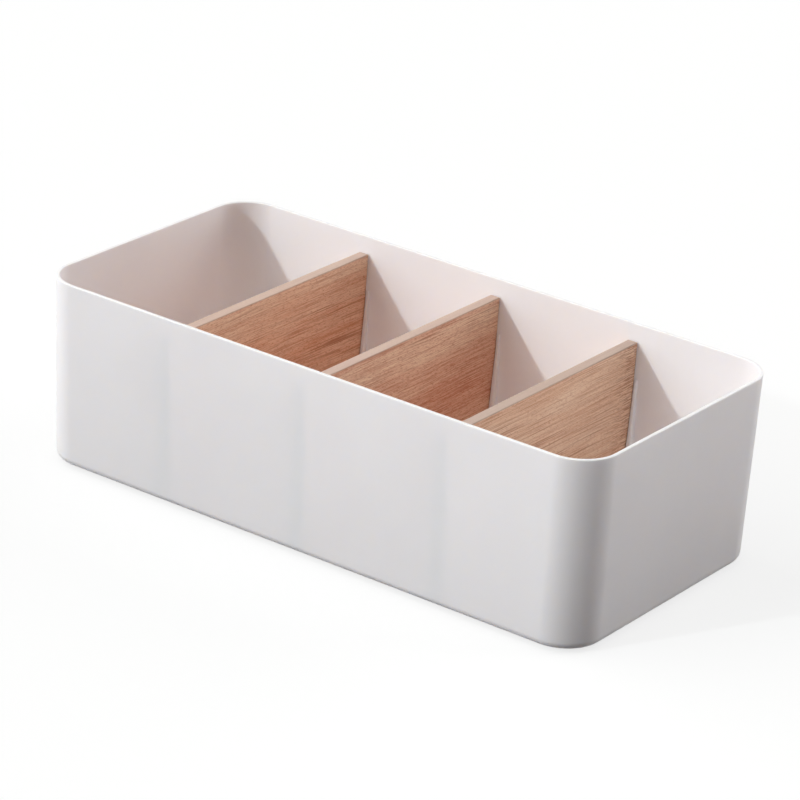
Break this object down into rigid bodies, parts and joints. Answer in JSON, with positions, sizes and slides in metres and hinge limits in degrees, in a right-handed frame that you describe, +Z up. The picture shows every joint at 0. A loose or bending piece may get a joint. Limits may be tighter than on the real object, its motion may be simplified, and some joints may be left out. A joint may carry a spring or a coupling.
{
  "type": "divided storage basket",
  "caption": "Low white open-top storage box with rounded corners, split into equal compartments by upright bamboo boards that lift out.",
  "frame": {"origin": "on the surface that the basket stands on, under its centre", "axes": "+X along the length, +Y from the front long wall to the back one, +Z up out of the open top"},
  "size_m": [0.267, 0.13, 0.08],
  "materials": {
    "white_plastic": "satin moulded white plastic",
    "bamboo": "sanded, clear-sealed caramel bamboo, grain along the board",
    "grey_rubber": "matt soft rubber"
  },
  "bodies": {
    "box": {"tray_body": "white_plastic", "foot_front_left": "grey_rubber", "foot_front_right": "grey_rubber", "foot_back_left": "grey_rubber", "foot_back_right": "grey_rubber"},
    "left_board": {"divider_left": "bamboo"},
    "middle_board": {"divider_middle": "bamboo"},
    "right_board": {"divider_right": "bamboo"}
  },
  "joints": [
    {"name": "left_board_lift", "type": "slide", "parent": "box", "child": "left_board", "axis": [0, 0, 1], "range_m": [0, 0.08]},
    {"name": "middle_board_lift", "type": "slide", "parent": "box", "child": "middle_board", "axis": [0, 0, 1], "range_m": [0, 0.08]},
    {"name": "right_board_lift", "type": "slide", "parent": "box", "child": "right_board", "axis": [0, 0, 1], "range_m": [0, 0.08]}
  ]
}
